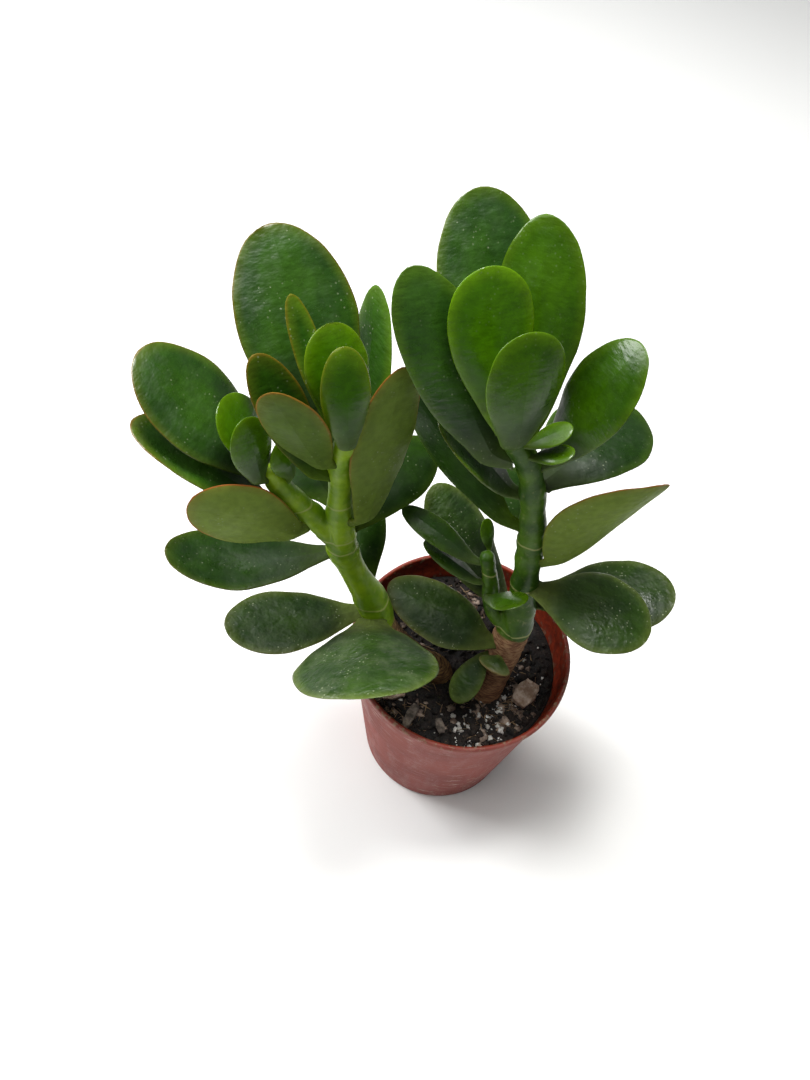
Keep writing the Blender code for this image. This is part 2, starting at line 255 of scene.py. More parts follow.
def leaf_columns(node):
    """Left edge, right edge, upper face and lower face, point by point along the leaf."""
    rings, tip = leaf_rings(node)
    half = RING_POINTS // 2

    def width(ring, start):
        return (ring[(start + half) % RING_POINTS] - ring[start]).length

    widest = max(range(len(rings)), key=lambda k: max(width(rings[k], s) for s in range(half)))
    start = max(range(half), key=lambda s: width(rings[widest], s))
    starts = {widest: start}
    for order in (range(widest - 1, -1, -1), range(widest + 1, len(rings))):
        last = widest
        for k in order:
            ring, edge = rings[last], starts[last]
            way = ring[(edge + half) % RING_POINTS] - ring[edge]
            starts[k] = max(
                range(RING_POINTS),
                key=lambda s: (rings[k][(s + half) % RING_POINTS] - rings[k][s]).dot(way),
            )
            last = k
    turned = []
    for k, ring in enumerate(rings):
        turned.append([ring[(starts[k] + step) % RING_POINTS] for step in range(RING_POINTS)])

    def bulge(first):
        ring = turned[widest]
        chord = (ring[0] + ring[half]) / 2
        return ((ring[first] + ring[first + 1]) / 2 - chord).length

    upper_first = bulge(2) < bulge(half + 2)
    if node in DOMED:
        upper_first = not upper_first
    left, right, upper, lower = [], [], [], []
    for ring in turned:
        one = (ring[2] + ring[3]) / 2
        two = (ring[half + 2] + ring[half + 3]) / 2
        core = (one + two) / 2
        one = core + (one - core) / RING_HEIGHT_SHARE
        two = core + (two - core) / RING_HEIGHT_SHARE
        left.append(ring[0])
        right.append(ring[half])
        upper.append(one if upper_first else two)
        lower.append(two if upper_first else one)
    return left, right, upper, lower, tip


# ---- building a leaf --------------------------------------------------------
def slopes(points, knots, beyond):
    """The rate at which a run of points moves at each knot."""
    rates = [(points[1] - points[0]) / (knots[1] - knots[0])]
    for k in range(1, len(points) - 1):
        before = (points[k] - points[k - 1]) / (knots[k] - knots[k - 1])
        after = (points[k + 1] - points[k]) / (knots[k + 1] - knots[k])
        share = (knots[k] - knots[k - 1]) / (knots[k + 1] - knots[k - 1])
        rates.append(before.lerp(after, share))
    rates.append((beyond - points[-2]) / (2 * (knots[-1] - knots[-2])))
    return rates


def along_run(points, rates, knots, t):
    """The smooth curve's point at t."""
    k = 0
    while k < len(knots) - 2 and t > knots[k + 1]:
        k += 1
    span = knots[k + 1] - knots[k]
    s = (t - knots[k]) / span
    start = points[k] * (2 * s ** 3 - 3 * s ** 2 + 1) + rates[k] * span * (s ** 3 - 2 * s ** 2 + s)
    end = points[k + 1] * (3 * s ** 2 - 2 * s ** 3) + rates[k + 1] * span * (s ** 3 - s ** 2)
    return start + end


def build_leaf(node, look):
    """A smooth blade over the leaf solid, with a blunt rim and a slightly uneven face."""
    left, right, upper, lower, tip = leaf_columns(node)
    knots = [0.0]
    for k in range(1, len(left)):
        moved = (left[k] - left[k - 1]).length + (right[k] - right[k - 1]).length
        knots.append(knots[-1] + moved / 2)
    knots.append(knots[-1] + ((tip - left[-1]).length + (tip - right[-1]).length) / 2)
    beyond = (right[-1], left[-1], lower[-1], upper[-1])
    runs = [run + [tip] for run in (left, right, upper, lower)]
    rates = [slopes(run, knots, past) for run, past in zip(runs, beyond)]
    reach = knots[-1]
    widest = max((b - a).length for a, b in zip(left, right))
    rng = random.Random(SEED + sum(map(ord, node)))
    drift = Vector([rng.uniform(-50, 50) for _ in range(3)])

    bm = bmesh.new()
    rings, facts = [], []

    def add_facts(depth, side, t):
        """Depth in from the rim in mm, side (0 upper, 1 lower) and share of the length."""
        facts.append((depth / MM, side, t / reach))

    def face_side(height):
        return 0.5 - 0.5 * max(-1.0, min(1.0, height / FACE_BLEND))

    for station in range(LEAF_ALONG):
        t = reach * station / LEAF_ALONG
        a, b, up, down = (along_run(r, q, knots, t) for r, q in zip(runs, rates))
        middle, across = (a + b) / 2, (b - a) / 2
        core, thick = (up + down) / 2 - middle, (up - down) / 2
        normal = thick.normalized()
        wide = across.length
        nicks = [
            EDGE_NICKS * max(0.0, noise.noise(edge / NICK_LENGTH + drift) + 0.1) for edge in (a, b)
        ]
        to_tip = max(0.0, (tip - middle).length)
        ring = []
        for step in range(LEAF_AROUND):
            angle = math.tau * step / LEAF_AROUND
            s, height = math.cos(angle), math.sin(angle)
            inside = max(0.0, 1 - abs(s) ** SECTION_FULLNESS) ** SECTION_BLUNTNESS
            reach_out = s * (1 - nicks[int(s > 0)] * s * s)
            place = middle + across * reach_out + core * (1 - s * s)
            place += thick * math.copysign(inside, height)
            calm = min(1.0, t / STALK_FADE) * min(1.0, widest / WAVY_WIDTH)
            wave = noise.noise(place / WAVE_LENGTH + drift) * WAVE_HEIGHT
            flutter = noise.noise(place / FLUTTER_LENGTH - drift) * FLUTTER_HEIGHT * abs(s) ** 3
            place += normal * (wave + flutter) * calm
            ring.append(bm.verts.new(place))
            side_depth = (1 - abs(s)) * wide
            depth = side_depth * to_tip / max(side_depth + to_tip, 0.01 * MM)
            add_facts(depth, face_side(height), t)
        rings.append(ring)
    first, second = (sum((v.co for v in ring), Vector()) / LEAF_AROUND for ring in rings[:2])
    back = (first - second).normalized() * STALK_REACH
    stalk = [bm.verts.new(vert.co + back) for vert in rings[0]]
    for step in range(LEAF_AROUND):
        inward = 1 - abs(math.cos(math.tau * step / LEAF_AROUND))
        add_facts(inward * widest * STALK_DEPTH_SHARE, 0.5, 0.0)
    join_rings(bm, [stalk] + rings)
    cap(bm, rings[-1], tip)
    add_facts(0.0, 0.5, reach)
    cap(bm, list(reversed(stalk)), first + back)
    add_facts(widest * BASE_DEPTH_SHARE, 0.5, 0.0)

    data = from_bmesh(bm)
    store(data, "rim_depth", [fact[0] for fact in facts])
    store(data, "underside", [fact[1] for fact in facts])
    store(data, "along", [fact[2] for fact in facts])
    count = len(data.vertices)
    for name, value in zip(("tint", "blush", "dust", "pale"), look[1:]):
        store(data, name, [value] * count)
    obj = made_object(node + "_blade", data, MATERIALS[look[0]], node)
    return obj


# ---- stems ------------------------------------------------------------------
def route_point(points, index, t):
    """Smooth place and radius between points[index] and the next one."""
    last = len(points) - 1
    p0, p1, p2, p3 = (points[min(max(index + step, 0), last)] for step in (-1, 0, 1, 2))
    return [
        0.5 * (2 * b + (c - a) * t + (2 * a - 5 * b + 4 * c - d) * t ** 2
               + (3 * b - a - 3 * c + d) * t ** 3)
        for a, b, c, d in zip(p0, p1, p2, p3)
    ]


def stem_route(points):
    """Stations along a stem: place, radius, growth direction and distance from its foot."""
    places = []
    for index in range(len(points) - 1):
        span = (Vector(points[index + 1][:3]) - Vector(points[index][:3])).length
        count = max(1, round(span / STEM_STEP))
        for part in range(count):
            x, y, z, radius = route_point(points, index, part / count)
            places.append((Vector((x, y, z)), radius))
    places.append((Vector(points[-1][:3]), points[-1][3]))
    stations, distance = [], 0.0
    for k, (place, radius) in enumerate(places):
        ahead = places[min(k + 1, len(places) - 1)][0]
        behind = places[max(k - 1, 0)][0]
        growth = (ahead - behind).normalized()
        if k:
            distance += (place - places[k - 1][0]).length
        stations.append((place, radius, growth, distance))
    return stations


def stem_tube(bm, stations):
    """A round tube along the stations, closed at both ends."""
    rings = []
    for place, radius, growth, _ in stations:
        turn = growth.to_track_quat("Z", "Y").to_matrix()
        ring = []
        for side in range(STEM_SIDES):
            angle = math.tau * side / STEM_SIDES
            arm = turn @ Vector((math.cos(angle), math.sin(angle), 0)) * radius
            ring.append(bm.verts.new((place + arm) * MM))
        rings.append(ring)
    join_rings(bm, rings)
    place, radius, growth, _ = stations[-1]
    cap(bm, rings[-1], (place + growth * radius * 0.6) * MM)
    cap(bm, list(reversed(rings[0])), stations[0][0] * MM)


def one_skin(data):
    """The tubes of a branching stem as one even skin."""
    work = bpy.data.objects.new("work", data)
    bpy.context.collection.objects.link(work)
    remesh = work.modifiers.new("Skin", "REMESH")
    remesh.mode = "VOXEL"
    remesh.voxel_size = STEM_VOXEL
    soften = work.modifiers.new("Soften", "SMOOTH")
    soften.factor = 0.5
    soften.iterations = STEM_SOFTENING
    bpy.context.view_layer.update()
    graph = bpy.context.evaluated_depsgraph_get()
    skin = bpy.data.meshes.new_from_object(work.evaluated_get(graph))
    bpy.data.objects.remove(work, do_unlink=True)
    return skin


def leaf_feet(routes, leaves):
    """Where each leaf's stalk meets a route: (route number, distance along it)."""
    feet = []
    for name in leaves:
        rings, _ = leaf_rings(name)
        foot = sum(rings[0], Vector()) / RING_POINTS / MM
        best = min(
            ((station[0] - foot).length - station[1], number, station[3])
            for number, stations in enumerate(routes) for station in stations
        )
        if best[0] < FOOT_REACH:
            feet.append(best[1:])
    return feet


def build_stem(node, curves, leaves, scars, material):
    """A stem with its side branch, swollen at the leaf joints and ridged where it is bark."""
    routes = [stem_route(points) for points in curves]
    bm = bmesh.new()
    for stations in routes:
        stem_tube(bm, stations)
    skin = one_skin(from_bmesh(bm))
    stations = [(number, station) for number, route in enumerate(routes) for station in route]
    tree = kdtree.KDTree(len(stations))
    for index, (_, station) in enumerate(stations):
        tree.insert(station[0] * MM, index)
    tree.balance()
    feet = leaf_feet(routes, leaves)
    normals = [vert.normal.copy() for vert in skin.vertices]
    bark, scar = [], []
    for vert, normal in zip(skin.vertices, normals):
        place = vert.co / MM
        number, (centre, radius, growth, distance) = stations[tree.find(vert.co)[1]]
        distance += (place - centre).dot(growth)
        wobble = 0.5 * noise.noise(place / 5)
        near = [distance + wobble - at for which, at in feet if which == number]
        rings = [place.z + 2 * wobble - height for height in scars]
        swell = max([math.exp(-(gap / JOINT_SPREAD) ** 2) for gap in near] or [0.0])
        ridge = max([math.exp(-(gap / SCAR_SPREAD) ** 2) for gap in rings] or [0.0])
        woody = 1 - blend(BARK_TOP - BARK_BLEND, BARK_TOP + BARK_BLEND, place.z + 4 * wobble)
        grain = noise.fractal(Vector((place.x * 0.3, place.y * 0.3, place.z * 1.1)), 1.0, 2.0, 4)
        lift = JOINT_SWELL * swell + SCAR_RIDGE * ridge + BARK_RIDGE * woody * grain
        lift += STEM_UNEVENNESS * noise.noise(place / 2.2)
        vert.co += normal * lift * MM
        bark.append(woody)
        scar.append(ridge)
    store(skin, "bark", bark)
    store(skin, "scar", scar)
    return made_object(node + "_skin", skin, material, node)


# ---- pot, soil and litter ---------------------------------------------------
def pot_profile():
    """The pot's wall as (radius, height) in millimetres: underside, outside, rim, inside."""
    low, high = (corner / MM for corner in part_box("pot"))
    rim, top = high.x, high.z
    base = rim - POT_TAPER
    side = rim - 0.7
    foot = top - COLLAR_DEPTH
    step = 0.5
    inner_top = side - step - POT_WALL
    body = base - POT_WALL + (inner_top - base + POT_WALL) * foot / top + POT_WALL
    return [
        (0.0, 0.6), (base - 4.5, 0.6), (base - 3.8, 0.0), (base - 1.2, 0.0), (base - 0.35, 0.35),
        (base, 1.2), ((base + body) / 2, foot / 2), (body, foot - 0.9), (body + 0.1, foot - 0.5),
        (body + step, foot), (body + step + 0.1, foot + 0.4), (side, top - RIM_BAND - 0.2),
        (side + 0.1, top - RIM_BAND), (rim - 0.15, top - RIM_BAND + 0.2),
        (rim, top - RIM_BAND + 0.6), (rim, top - 0.7), (rim - 0.25, top - 0.2),
        (rim - 0.8, top), (side - POT_WALL + 0.5, top), (side - POT_WALL + 0.1, top - 0.3),
        (side - POT_WALL, top - 0.9), (body + step - POT_WALL, foot + 0.6),
        (body - POT_WALL, foot), (base - POT_WALL, 2.6), (base - POT_WALL - 1.0, 1.6), (0.0, 1.6),
    ]


def build_pot():
    """A thin moulded pot, very slightly out of round, with a stepped collar and a rolled rim."""
    profile = []
    corners = pot_profile()
    for (r0, z0), (r1, z1) in zip(corners, corners[1:]):
        count = max(1, round(math.hypot(r1 - r0, z1 - z0) / 4.0))
        profile += [(r0 + (r1 - r0) * k / count, z0 + (z1 - z0) * k / count) for k in range(count)]
    profile.append(corners[-1])
    bm = bmesh.new()
    rings = []
    for radius, height in profile[1:-1]:
        ring = []
        for side in range(POT_SIDES):
            angle = math.tau * side / POT_SIDES
            way = Vector((math.cos(angle), math.sin(angle), 0))
            dent = noise.noise(way * 1.6 + Vector((0, 0, height / 60))) * WALL_WAVE * height / 87
            ring.append(bm.verts.new((way * (radius + dent - 0.05) + Vector((0, 0, height))) * MM))
        rings.append(ring)
    join_rings(bm, rings)
    cap(bm, list(reversed(rings[0])), Vector((0, 0, profile[0][1])) * MM)
    cap(bm, rings[-1], Vector((0, 0, profile[-1][1])) * MM)
    data = from_bmesh(bm)
    inside, soiled = [], []
    top = max(height for _, height in profile)
    rim_start = next(k for k, corner in enumerate(profile) if corner[1] == top)
    for index, vert in enumerate(data.vertices):
        inner = float(index // POT_SIDES + 1 > rim_start)
        inside.append(inner)
        height = vert.co.z / MM
        soiled.append(max(inner * blend(78, 74, height), blend(83, 86.5, height)) * 0.8)
    store(data, "inside", inside)
    store(data, "soiled", soiled)
    obj = made_object("pot_wall", data, MATERIALS["pot"], "pot")
    return obj


def soil_height(x, y):
    """Height of the soil's crumbly top, in millimetres above the frame's soil."""
    place = Vector((x, y, 0))
    lumps = noise.fractal(place / 7, 0.9, 2.1, 4)
    crumbs = abs(noise.noise(place / 1.7))
    return CRUMB_HEIGHT * lumps + 0.5 * crumbs


def build_soil():
    """The root ball: a crumbly top on a plain tapering block."""
    low, high = (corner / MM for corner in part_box("soil"))
    radius, top, bottom = high.x, high.z - 1.6, low.z
    foot = radius - SOIL_TAPER
    rings_out = round(radius / SOIL_STEP)
    ways = [
        (math.cos(math.tau * side / SOIL_SIDES), math.sin(math.tau * side / SOIL_SIDES))
        for side in range(SOIL_SIDES)
    ]
    bm = bmesh.new()
    rings = []
    for k in range(1, rings_out + 1):
        r = radius * k / rings_out
        edge = blend(radius, radius - 3, r)
        ring = []
        for x, y in [(r * east, r * north) for east, north in ways]:
            height = top + edge * soil_height(x, y) - 0.6 * (1 - edge)
            ring.append(bm.verts.new(Vector((x, y, height)) * MM))
        rings.append(ring)
    join_rings(bm, rings)
    cap(bm, list(reversed(rings[0])), Vector((0, 0, top + soil_height(0, 0))) * MM)
    under = []
    for r, z in ((foot, bottom + 1.0), (foot - 1.0, bottom)):
        under.append([
            bm.verts.new(Vector((r * east, r * north, z)) * MM) for east, north in ways
        ])
    join_rings(bm, [rings[-1]] + under)
    cap(bm, under[-1], Vector((0, 0, bottom)) * MM)
    obj = made_object("soil_ball", from_bmesh(bm), MATERIALS["soil"], "soil")
    return top, radius


def lump(bm, centre, size, rng, angular, flat):
    """One irregular grain, the flatter the lower 'flat' is."""
    made = bmesh.ops.create_icosphere(bm, subdivisions=2, radius=1.0)["verts"]
    turn = Matrix.Rotation(rng.uniform(0, math.tau), 3, Vector((0, 0, 1)))
    turn = Matrix.Rotation(rng.uniform(-0.7, 0.7), 3, Vector((1, 0, 0))) @ turn
    drift = Vector([rng.uniform(-9, 9) for _ in range(3)])
    stretch = Vector((rng.uniform(0.7, 1.4), rng.uniform(0.6, 1.1), rng.uniform(0.7, 1.1) * flat))
    for vert in made:
        bulge = 1 + angular * noise.noise(vert.co * 1.4 + drift)
        place = Vector([c * s for c, s in zip(vert.co * bulge, stretch)])
        vert.co = (centre + turn @ place * size) * MM


def on_soil(rng, top, radius, heaps=()):
    """A random place on the soil, mostly near one of the heaps (x, y, spread) if there are any."""
    if heaps and rng.random() < HEAP_SHARE:
        x, y, spread = rng.choice(heaps)
        x, y = rng.gauss(x, spread), rng.gauss(y, spread)
    else:
        r = radius * math.sqrt(rng.random())
        angle = rng.uniform(0, math.tau)
        x, y = r * math.cos(angle), r * math.sin(angle)
    inward = min(1.0, (radius - 2.5) / max(math.hypot(x, y), 0.01))
    return Vector((x * inward, y * inward, top + soil_height(x * inward, y * inward)))


def build_grains(name, count, sizes, angular, flat, material, ground, heaps=()):
    """Loose grains strewn over the soil, as one piece; most of them are small."""
    rng = random.Random(name)
    bm = bmesh.new()
    for _ in range(count):
        size = sizes[0] + (sizes[1] - sizes[0]) * rng.random() ** 2
        place = on_soil(rng, *ground, heaps)
        lump(bm, place + Vector((0, 0, size * 0.3 * flat)), size, rng, angular, flat)
    obj = made_object(name, from_bmesh(bm), material)


def build_fibres(top, radius):
    """Short coarse fibres lying on the soil, as one piece."""
    rng = random.Random(SEED + 3)
    bm = bmesh.new()
    for _ in range(FIBRE_COUNT):
        place = on_soil(rng, top, radius - 3, FLAKE_HEAPS) + Vector((0, 0, 0.4))
        heading = rng.uniform(0, math.tau)
        length = rng.uniform(2, 8)
        thick = rng.uniform(0.10, 0.32)
        bend = rng.uniform(-0.12, 0.12)
        up = Vector((0, 0, 1))
        rings = []
        for k in range(FIBRE_JOINTS):
            way = Vector((math.cos(heading), math.sin(heading), 0))
            side = Vector((-way.y, way.x, 0))
            size = thick * (1 - 0.5 * abs(k / 3 - 1))
            here = place + up * (soil_height(place.x, place.y) * 0.3)
            rings.append([bm.verts.new((here + side * size * a + up * size * b) * MM)
                          for a, b in ((1, 0), (0, 1), (-1, 0), (0, -1))])
            place = place + way * length / 6 + up * rng.uniform(-0.12, 0.16)
            heading += bend + rng.uniform(-0.2, 0.2)
        join_rings(bm, rings)
        cap(bm, list(reversed(rings[0])), sum((v.co for v in rings[0]), Vector()) / 4)
        cap(bm, rings[-1], sum((v.co for v in rings[-1]), Vector()) / 4)
    obj = made_object("soil_fibres", from_bmesh(bm), MATERIALS["fibre"])


def build_flake(node, material, raggedness):
    """A flake's solid with a split surface, uneven by about 'raggedness' in millimetres."""
    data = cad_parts[node].data.copy()
    bm = bmesh.new()
    bm.from_mesh(data)
    bmesh.ops.remove_doubles(bm, verts=bm.verts, dist=0.001 * MM)
    bmesh.ops.subdivide_edges(bm, edges=bm.edges, cuts=5, use_grid_fill=True)
    bmesh.ops.triangulate(bm, faces=bm.faces)
    bm.normal_update()
    for vert in bm.verts:
        place = vert.co / MM
        lift = raggedness * noise.fractal(Vector((place.x, place.y, place.z * 3)) / 2.5, 1, 2, 3)
        vert.co += vert.normal * lift * MM
    obj = made_object(node + "_flake", from_bmesh(bm), material, node)


# ---- materials --------------------------------------------------------------
def add(tree, kind, **settings):
    """A node with its settings."""
    made = tree.nodes.new(kind)
    for key, value in settings.items():
        setattr(made, key, value)
    return made


def put(tree, socket, value):
    """Links a socket, or sets it to a plain value."""
    if isinstance(value, bpy.types.NodeSocket):
        tree.links.new(value, socket)
    else:
        socket.default_value = value


def maths(tree, operation, first, second):
    """One sum on two values or sockets."""
    node = add(tree, "ShaderNodeMath", operation=operation)
    put(tree, node.inputs[0], first)
    put(tree, node.inputs[1], second)
    return node.outputs[0]


def between(tree, value, low, high, start=0.0, end=1.0):
    """A smooth step from start to end as value goes from low to high."""
    node = add(tree, "ShaderNodeMapRange", interpolation_type="SMOOTHSTEP")
    labels = ("Value", "From Min", "From Max", "To Min", "To Max")
    for label, given in zip(labels, (value, low, high, start, end)):
        put(tree, node.inputs[label], given)
    return node.outputs["Result"]


def mixed(tree, share, first, second):
    """The first colour, giving way to the second as share goes from 0 to 1."""
    node = add(tree, "ShaderNodeMix", data_type="RGBA", blend_type="MIX")
    put(tree, node.inputs[0], share)
    put(tree, node.inputs[6], first)
    put(tree, node.inputs[7], second)
    return node.outputs[2]


def grainy(tree, place, scale, detail=3.0, roughness=0.5):
    """Cloudy noise around 0.5; the higher the scale, the finer."""
    node = add(tree, "ShaderNodeTexNoise")
    put(tree, node.inputs["Vector"], place)
    put(tree, node.inputs["Scale"], scale)
    put(tree, node.inputs["Detail"], detail)
    put(tree, node.inputs["Roughness"], roughness)
    return node.outputs["Fac"]


def place_of(tree, stretch=(1, 1, 1)):
    """The surface's place in metres, stretched along each axis."""
    here = add(tree, "ShaderNodeTexCoord").outputs["Object"]
    node = add(tree, "ShaderNodeMapping")
    put(tree, node.inputs["Vector"], here)
    node.inputs["Scale"].default_value = stretch
    return node.outputs["Vector"]


def told(tree, name):
    """The value that 'store' gave each point."""
    return add(tree, "ShaderNodeAttribute", attribute_name=name).outputs["Fac"]


def bumped(tree, height, distance):
    """A normal that follows a small relief."""
    node = add(tree, "ShaderNodeBump")
    put(tree, node.inputs["Height"], height)
    node.inputs["Distance"].default_value = distance
    return node.outputs["Normal"]


def new_group(name, inputs, outputs):
    """A node group with named inputs (name, kind, value) and outputs (name, kind)."""
    tree = bpy.data.node_groups.new(name, "ShaderNodeTree")
    for label, kind, value in inputs:
        socket = tree.interface.new_socket(label, in_out="INPUT", socket_type=kind)
        socket.default_value = value
    for label, kind in outputs:
        tree.interface.new_socket(label, in_out="OUTPUT", socket_type=kind)
    start = tree.nodes.new("NodeGroupInput")
    end = tree.nodes.new("NodeGroupOutput")
    return tree, start.outputs, end.inputs


COLOR, FLOAT, VECTOR = "NodeSocketColor", "NodeSocketFloat", "NodeSocketVector"


def leaf_skin():
    """Waxy leaf: clouded green, pale near rim and stalk, blushed rim, pores, dust and ripples."""
    tree, given, made = new_group(
        "Leaf skin",
        [("Face", COLOR, (0.03, 0.09, 0.01, 1)), ("Deep", COLOR, (0.015, 0.05, 0.008, 1)),
         ("Fresh", COLOR, (0.12, 0.22, 0.02, 1)), ("Under", COLOR, (0.10, 0.14, 0.05, 1)),
         ("Rim", COLOR, (0.20, 0.05, 0.02, 1)), ("Pores", FLOAT, 0.3),
         ("Ripple", FLOAT, 1.0), ("Shade", FLOAT, 0.3), ("Gloss", FLOAT, 0.28), ("Haze", FLOAT, 0.45)],
        [("Color", COLOR), ("Roughness", FLOAT), ("Normal", VECTOR)],
    )
    here = place_of(tree)
    clouds = grainy(tree, here, 55, 3)
    fine = grainy(tree, here, 420, 3)
    ripples = grainy(tree, place_of(tree, (1, 1, 2.6)), 230, 2, 0.55)
    depth, under, along = told(tree, "rim_depth"), told(tree, "underside"), told(tree, "along")
    tint, blush, dust = told(tree, "tint"), told(tree, "blush"), told(tree, "dust")
    pale = told(tree, "pale")

    colour = mixed(tree, between(tree, clouds, 0.36, 0.66), given["Face"], given["Deep"])
    light_rim = between(tree, depth, 0.0, 3.2, 0.35, 0.0)
    colour = mixed(tree, light_rim, colour, given["Fresh"])
    light_stalk = between(tree, along, 0.02, 0.26, 0.6, 0.0)
    colour = mixed(tree, light_stalk, colour, given["Fresh"])
    below = maths(tree, "MULTIPLY", between(tree, under, 0.45, 0.75), pale)
    colour = mixed(tree, below, colour, given["Under"])
    # The tint scales the colour: partly the leaf's own tone, partly painted shade and painted light.
    bright = maths(tree, "ADD", maths(tree, "MULTIPLY", tint, 0.5), 1.0)
    uneven = between(tree, fine, 0.3, 0.7, 0.88, 1.1)
    scaled = add(tree, "ShaderNodeVectorMath", operation="SCALE")
    put(tree, scaled.inputs[0], colour)
    # Painted shade: the colour darkens towards the stalk, where the leaves crowd round the stem.
    shaded = between(tree, along, 0.05, 0.55, maths(tree, "SUBTRACT", 1.0, given["Shade"]), 1.0)
    uneven = maths(tree, "MULTIPLY", bright, uneven)
    put(tree, scaled.inputs["Scale"], maths(tree, "MULTIPLY", uneven, shaded))
    colour = scaled.outputs[0]
    patchy = grainy(tree, here, 90, 2)
    line = between(tree, depth, 0.10, maths(tree, "ADD", patchy, 0.25), 1.0, 0.0)
    edge_light = maths(tree, "MULTIPLY", line, 0.15)
    colour = mixed(tree, edge_light, colour, given["Fresh"])
    tipward = maths(tree, "ADD", along, maths(tree, "MULTIPLY", grainy(tree, here, 28, 1), 0.9))
    blush = maths(tree, "MULTIPLY", blush, between(tree, tipward, 0.65, 1.25, 0.1, 1.0))
    red = maths(tree, "MULTIPLY", maths(tree, "MULTIPLY", line, blush), 0.8)
    colour = mixed(tree, red, colour, given["Rim"])
    wash = between(tree, depth, 0.2, 3.0, 0.16, 0.0)
    colour = mixed(tree, maths(tree, "MULTIPLY", wash, blush), colour, given["Rim"])
    dots = add(tree, "ShaderNodeTexVoronoi")
    put(tree, dots.inputs["Vector"], here)
    dots.inputs["Scale"].default_value = 620
    dot = between(tree, dots.outputs["Distance"], 0.10, 0.22, 1.0, 0.0)
    dot = maths(tree, "MULTIPLY", dot, between(tree, patchy, 0.45, 0.65))
    dot = maths(tree, "MULTIPLY", dot, given["Pores"])
    colour = mixed(tree, dot, colour, (0.42, 0.47, 0.30, 1))
    film = between(tree, grainy(tree, here, 130, 5, 0.65), 0.45, 0.80)
    film = maths(tree, "MULTIPLY", film, dust)
    colour = mixed(tree, maths(tree, "MULTIPLY", film, 0.30), colour, (0.26, 0.30, 0.17, 1))
    put(tree, made["Color"], colour)

    rough = between(tree, grainy(tree, here, 160, 4), 0.3, 0.7, given["Gloss"], given["Haze"])
    rough = maths(tree, "ADD", rough, maths(tree, "MULTIPLY", film, 0.25))
    rough = maths(tree, "ADD", rough, maths(tree, "MULTIPLY", below, 0.10))
    rough = maths(tree, "ADD", rough, between(tree, along, 0.1, 0.5, 0.35, 0.0))
    put(tree, made["Roughness"], rough)
    height = maths(tree, "ADD", ripples, maths(tree, "MULTIPLY", fine, 0.35))
    height = maths(tree, "MULTIPLY", height, given["Ripple"])
    height = maths(tree, "SUBTRACT", height, maths(tree, "MULTIPLY", dot, 0.3))
    height = maths(tree, "ADD", height, between(tree, depth, 0.0, 8.0, 0.0, 4.6))
    put(tree, made["Normal"], bumped(tree, height, 0.00045))
    return tree


def stem_skin():
    """Green stem with pale scar rings, turning to dry fibrous bark where the stem is old."""
    tree, given, made = new_group(
        "Stem skin",
        [("Green", COLOR, (0.13, 0.24, 0.02, 1)), ("Dark green", COLOR, (0.05, 0.12, 0.01, 1)),
         ("Scar", COLOR, (0.36, 0.36, 0.16, 1)), ("Bark", COLOR, (0.20, 0.12, 0.05, 1)),
         ("Dark bark", COLOR, (0.05, 0.022, 0.012, 1))],
        [("Color", COLOR), ("Roughness", FLOAT), ("Normal", VECTOR)],
    )
    here = place_of(tree)
    clouds = grainy(tree, here, 90, 3)
    fine = grainy(tree, here, 520, 4)
    fibres = grainy(tree, place_of(tree, (0.35, 0.35, 2.2)), 900, 5, 0.65)
    bark, scar = told(tree, "bark"), told(tree, "scar")
    green = mixed(tree, between(tree, clouds, 0.35, 0.65), given["Green"], given["Dark green"])
    green = mixed(tree, between(tree, fine, 0.58, 0.72, 0.0, 0.2), green, given["Scar"])
    green = mixed(tree, between(tree, scar, 0.35, 0.9, 0.0, 0.75), green, given["Scar"])
    wood = mixed(tree, between(tree, fibres, 0.38, 0.62), given["Dark bark"], given["Bark"])
    ragged = maths(tree, "ADD", bark, between(tree, clouds, 0.2, 0.8, -0.25, 0.25))
    woody = between(tree, ragged, 0.35, 0.65)
    put(tree, made["Color"], mixed(tree, woody, green, wood))
    put(tree, made["Roughness"], between(tree, woody, 0.0, 1.0, 0.42, 0.85))
    relief = maths(tree, "MULTIPLY", fine, 0.35)
    relief = maths(tree, "ADD", relief, maths(tree, "MULTIPLY", fibres, woody))
    put(tree, made["Normal"], bumped(tree, relief, 0.0006))
    return tree


def principled(name):
    """A new material: its tree and its Principled shader."""
    made = bpy.data.materials.new(name)
    made.use_nodes = True
    return made, made.node_tree, made.node_tree.nodes["Principled BSDF"]


def skinned(name, skin, values, specular):
    """A material whose colour, roughness and normal come from a skin group."""
    made, tree, shader = principled(name)
    group = add(tree, "ShaderNodeGroup", node_tree=skin)
    for label, value in values.items():
        group.inputs[label].default_value = value
    for label, target in (("Color", "Base Color"), ("Roughness", "Roughness"), ("Normal", "Normal")):
        tree.links.new(group.outputs[label], shader.inputs[target])
    shader.inputs["Specular IOR Level"].default_value = specular
    return made


